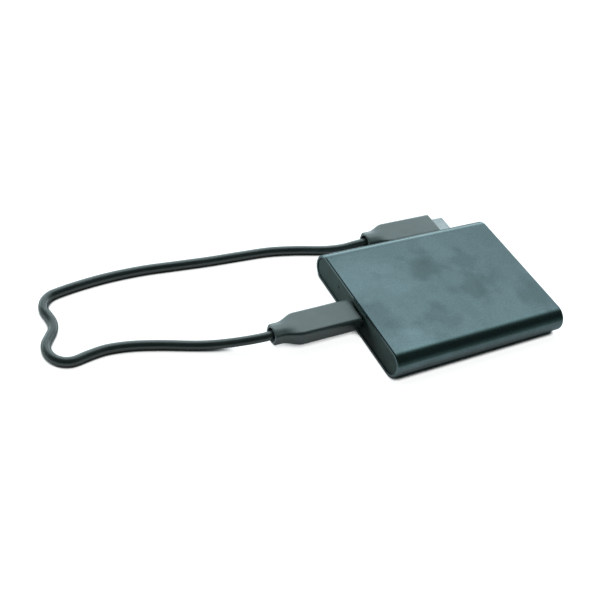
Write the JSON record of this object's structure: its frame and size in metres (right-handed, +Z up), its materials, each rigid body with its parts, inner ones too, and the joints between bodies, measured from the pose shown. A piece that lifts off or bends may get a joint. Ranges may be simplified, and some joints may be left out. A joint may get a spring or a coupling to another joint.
{
  "type": "external solid state drive",
  "caption": "Slim portable solid state drive: a flat metal sleeve with rounded sides, dark end trims, and a short data cable plugged into its port.",
  "frame": {"origin": "middle of the drive's flat underside, on the surface it lies on", "axes": "+X along the sleeve from the port end to the blind end, +Y across it, +Z up out of the broad face"},
  "size_m": [0.1785, 0.0746, 0.0105],
  "materials": {
    "anodised_sleeve": "blue-grey anodised, satin",
    "end_trim": "matt dark",
    "adhesive_film": "die-cut double-sided film",
    "chassis_plastic": "moulded, fine spark texture",
    "screw_steel": "plated steel",
    "connector_steel": "nickel plated, drawn",
    "clear_plastic": "clear moulding",
    "led_body": "pale phosphor",
    "board_green": "solder mask, satin",
    "board_blue": "solder mask, satin",
    "insulator": "glass-filled nylon",
    "contact_gold": "gold plated",
    "chip_package": "moulded package",
    "ferrite": "sintered",
    "capacitor_ceramic": "ceramic with tinned ends",
    "thermal_pad": "soft silicone",
    "plug_moulding": "soft moulding with a fine grain",
    "cord_jacket": "smooth jacket, low sheen"
  },
  "bodies": {
    "root": {"sleeve": "anodised_sleeve", "chassis": "chassis_plastic", "rear_bracket": "chassis_plastic", "port_trim": "end_trim", "rear_trim": "end_trim", "port_trim_film": "adhesive_film", "rear_trim_film": "adhesive_film", "port_end_screws": "screw_steel", "rear_end_screws": "screw_steel", "light_pipe": "clear_plastic", "status_led": "led_body", "bridge_board": "board_green", "bridge_board_screws": "screw_steel", "socket_shell": "connector_steel", "socket_insulator": "insulator", "socket_contacts": "contact_gold", "bridge_chip": "chip_package", "bridge_inductor": "ferrite", "bridge_crystal": "connector_steel", "bridge_capacitors": "capacitor_ceramic", "module_connector": "insulator", "module_connector_pins": "contact_gold", "flash_module_board": "board_blue", "module_screws": "screw_steel", "flash_packages": "chip_package", "controller_chip": "chip_package", "memory_chip": "chip_package", "module_capacitors": "capacitor_ceramic", "thermal_pad": "thermal_pad", "drive_plug_body": "plug_moulding", "drive_plug_shell": "connector_steel", "drive_plug_insulator": "insulator", "drive_plug_contacts": "contact_gold", "cord": "cord_jacket", "host_plug_body": "plug_moulding", "host_plug_shell": "connector_steel", "host_plug_insulator": "insulator", "host_plug_contacts": "contact_gold"}
  },
  "joints": []
}
